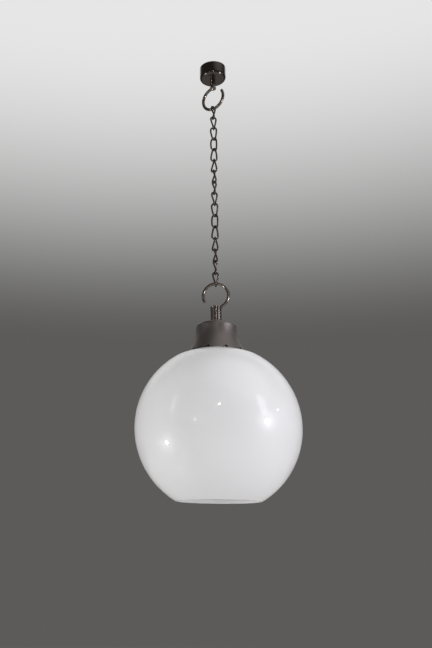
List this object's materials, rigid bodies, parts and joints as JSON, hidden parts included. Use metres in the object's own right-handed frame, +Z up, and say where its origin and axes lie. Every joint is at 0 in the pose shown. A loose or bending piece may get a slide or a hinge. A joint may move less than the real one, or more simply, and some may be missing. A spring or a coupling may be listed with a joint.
{
  "type": "pendant lamp",
  "caption": "Pendant lamp: opal glass ball with a metal cap, hung by a twisted link chain between open ring hooks under a small round canopy.",
  "frame": {"origin": "middle of the ceiling plate's top face, where the lamp meets the ceiling", "axes": "+Z up along the lamp's axis, -Y towards the side that the picture shows, +X to the right"},
  "size_m": [0.35, 0.35, 1.0234],
  "materials": {
    "canopy_metal": "polished black nickel on spun steel",
    "hook_metal": "polished dark nickel on turned and bent steel",
    "chain_steel": "dark oxidised steel wire",
    "cap_metal": "satin gunmetal on spun steel",
    "opal_glass": "glossy blown opal glass",
    "zinc_steel": "zinc plated",
    "brass": "plain",
    "ceramic": "glazed porcelain",
    "rubber": "matte",
    "bulb_glass": "frosted",
    "bulb_metal": "pressed, with a rolled thread"
  },
  "bodies": {
    "ceiling_fitting": {"ceiling_plate": "zinc_steel", "mounting_tube": "zinc_steel", "tube_lock_nut": "zinc_steel", "earth_screw": "brass", "terminal_block": "ceramic", "terminal_screws": "brass", "canopy": "canopy_metal", "canopy_cable_bush": "rubber", "upper_hook": "hook_metal"},
    "link_01": {"chain_link_01": "chain_steel"},
    "link_02": {"chain_link_02": "chain_steel"},
    "link_03": {"chain_link_03": "chain_steel"},
    "link_04": {"chain_link_04": "chain_steel"},
    "link_05": {"chain_link_05": "chain_steel"},
    "link_06": {"chain_link_06": "chain_steel"},
    "link_07": {"chain_link_07": "chain_steel"},
    "link_08": {"chain_link_08": "chain_steel"},
    "link_09": {"chain_link_09": "chain_steel"},
    "link_10": {"chain_link_10": "chain_steel"},
    "link_11": {"chain_link_11": "chain_steel"},
    "link_12": {"chain_link_12": "chain_steel"},
    "link_13": {"chain_link_13": "chain_steel"},
    "link_14": {"chain_link_14": "chain_steel"},
    "link_15": {"chain_link_15": "chain_steel"},
    "link_16": {"chain_link_16": "chain_steel"},
    "lamp_head": {"lower_hook": "hook_metal", "stem_cable_bush": "rubber", "threaded_tube": "zinc_steel", "cap_washer": "zinc_steel", "cap_nut": "zinc_steel", "cap": "cap_metal", "globe": "opal_glass", "globe_gasket": "rubber", "globe_plate": "zinc_steel", "shade_ring": "zinc_steel", "holder_dome": "zinc_steel", "holder_skirt": "zinc_steel", "holder_insert": "ceramic", "screw_shell": "brass", "centre_contact": "brass"},
    "bulb": {"bulb_base": "bulb_metal", "bulb_glass": "bulb_glass"}
  },
  "joints": [
    {"name": "link_01_rock", "type": "hinge", "parent": "ceiling_fitting", "child": "link_01", "pos_m": [0, 0, -0.1112], "axis": [0.8387, -0.5446, 0], "range_deg": [-45, 45]},
    {"name": "link_02_rock", "type": "hinge", "parent": "link_01", "child": "link_02", "pos_m": [0, 0, -0.1377], "axis": [-0.3303, 0.9439, 0], "range_deg": [-45, 45]},
    {"name": "link_03_rock", "type": "hinge", "parent": "link_02", "child": "link_03", "pos_m": [0, 0, -0.1657], "axis": [-0.112, -0.9937, 0], "range_deg": [-45, 45]},
    {"name": "link_04_rock", "type": "hinge", "parent": "link_03", "child": "link_04", "pos_m": [0, 0, -0.1937], "axis": [0.532, 0.8467, 0], "range_deg": [-45, 45]},
    {"name": "link_05_rock", "type": "hinge", "parent": "link_04", "child": "link_05", "pos_m": [0, 0, -0.2217], "axis": [-0.8467, -0.532, 0], "range_deg": [-45, 45]},
    {"name": "link_06_rock", "type": "hinge", "parent": "link_05", "child": "link_06", "pos_m": [0, 0, -0.2497], "axis": [0.9937, 0.112, 0], "range_deg": [-45, 45]},
    {"name": "link_07_rock", "type": "hinge", "parent": "link_06", "child": "link_07", "pos_m": [0, 0, -0.2777], "axis": [-0.9439, 0.3303, 0], "range_deg": [-45, 45]},
    {"name": "link_08_rock", "type": "hinge", "parent": "link_07", "child": "link_08", "pos_m": [0, 0, -0.3057], "axis": [0.7071, -0.7071, 0], "range_deg": [-45, 45]},
    {"name": "link_09_rock", "type": "hinge", "parent": "link_08", "child": "link_09", "pos_m": [0, 0, -0.3337], "axis": [-0.3303, 0.9439, 0], "range_deg": [-45, 45]},
    {"name": "link_10_rock", "type": "hinge", "parent": "link_09", "child": "link_10", "pos_m": [0, 0, -0.3617], "axis": [-0.1119, -0.9937, 0], "range_deg": [-45, 45]},
    {"name": "link_11_rock", "type": "hinge", "parent": "link_10", "child": "link_11", "pos_m": [0, 0, -0.3897], "axis": [0.532, 0.8468, 0], "range_deg": [-45, 45]},
    {"name": "link_12_rock", "type": "hinge", "parent": "link_11", "child": "link_12", "pos_m": [0, 0, -0.4177], "axis": [-0.8467, -0.5321, 0], "range_deg": [-45, 45]},
    {"name": "link_13_rock", "type": "hinge", "parent": "link_12", "child": "link_13", "pos_m": [0, 0, -0.4457], "axis": [0.9937, 0.112, 0], "range_deg": [-45, 45]},
    {"name": "link_14_rock", "type": "hinge", "parent": "link_13", "child": "link_14", "pos_m": [0, 0, -0.4737], "axis": [-0.9439, 0.3302, 0], "range_deg": [-45, 45]},
    {"name": "link_15_rock", "type": "hinge", "parent": "link_14", "child": "link_15", "pos_m": [0, 0, -0.5017], "axis": [0.7072, -0.7071, 0], "range_deg": [-45, 45]},
    {"name": "link_16_rock", "type": "hinge", "parent": "link_15", "child": "link_16", "pos_m": [0, 0, -0.5297], "axis": [-0.3303, 0.9439, 0], "range_deg": [-45, 45]},
    {"name": "lamp_rock", "type": "hinge", "parent": "link_16", "child": "lamp_head", "pos_m": [0, 0, -0.5577], "axis": [-0.1119, -0.9937, 0], "range_deg": [-45, 45]},
    {"name": "bulb_draw", "type": "slide", "parent": "lamp_head", "child": "bulb", "axis": [0, 0, -1], "range_m": [0, 0.025]}
  ]
}
